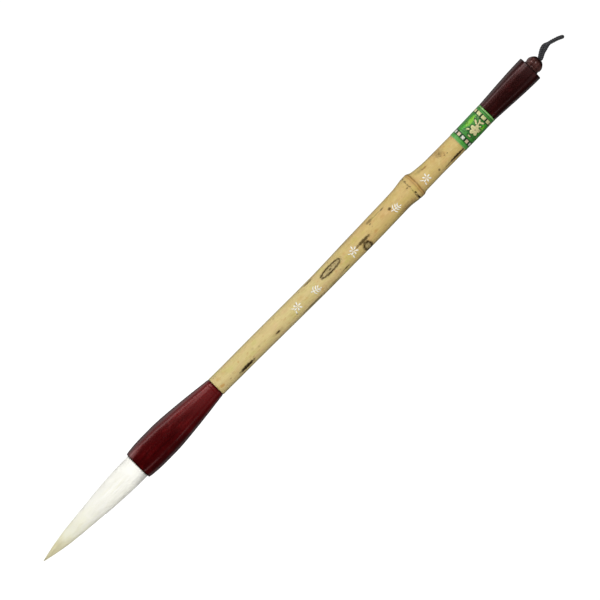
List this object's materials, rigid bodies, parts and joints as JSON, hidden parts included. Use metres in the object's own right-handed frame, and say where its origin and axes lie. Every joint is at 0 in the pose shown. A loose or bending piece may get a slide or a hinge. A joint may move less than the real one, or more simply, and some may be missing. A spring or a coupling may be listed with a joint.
{
  "type": "calligraphy brush",
  "caption": "Long hanging calligraphy brush: pointed white hair tuft, barrel-shaped hardwood ferrule, bamboo handle with a node, paper band, flared cap and cord loop.",
  "frame": {"origin": "point of the hair tuft, on the brush's axis", "axes": "+Z from the tuft's point up the handle to the cord loop; -X the side that the loop leans to; -Y the side that carries the engraved ornaments"},
  "size_m": [0.0176, 0.0176, 0.3698],
  "materials": {
    "hair_tip": "long fine goat hair, tan and slightly translucent at the point",
    "hair_white": "white goat hair laid in one direction",
    "hair_root": "goat hair bound hard and soaked with glue",
    "hemp_thread": "twisted hemp thread",
    "rosin": "melted amber rosin, glassy",
    "rosewood": "turned dark red hardwood, polished and lacquered",
    "bamboo": "smooth pale bamboo rind with brown natural stains",
    "white_paint": "white paint pressed into the engraving",
    "foil_paper": "printed green foil paper, glossy",
    "dark_hardwood": "turned dark brown-red hardwood, polished",
    "brown_hardwood": "turned brown hardwood, polished",
    "black_cord": "twisted black cotton cord, slightly waxed"
  },
  "bodies": {
    "handle": {"ferrule": "rosewood", "tuft_root": "hair_root", "root_binding": "hemp_thread", "rosin_seal": "rosin", "bamboo_shaft": "bamboo", "mark_inlay": "white_paint", "label_band": "foil_paper", "end_cap": "dark_hardwood", "cap_button": "brown_hardwood", "cord_knot": "black_cord"},
    "tuft": {"cover_hair": "hair_white", "core_hair": "hair_tip"},
    "loop": {"hanging_loop": "black_cord"}
  },
  "joints": [
    {"name": "tuft_bend", "type": "hinge", "parent": "handle", "child": "tuft", "pos_m": [0, 0, 0.06147], "axis": [0, 1, 0], "range_deg": [-40, 40], "stiffness_Nm_per_rad": 0.02},
    {"name": "loop_swing", "type": "hinge", "parent": "handle", "child": "loop", "pos_m": [0, 0, 0.3537], "axis": [1, 0, 0], "range_deg": [-85, 85], "stiffness_Nm_per_rad": 0.0002}
  ]
}
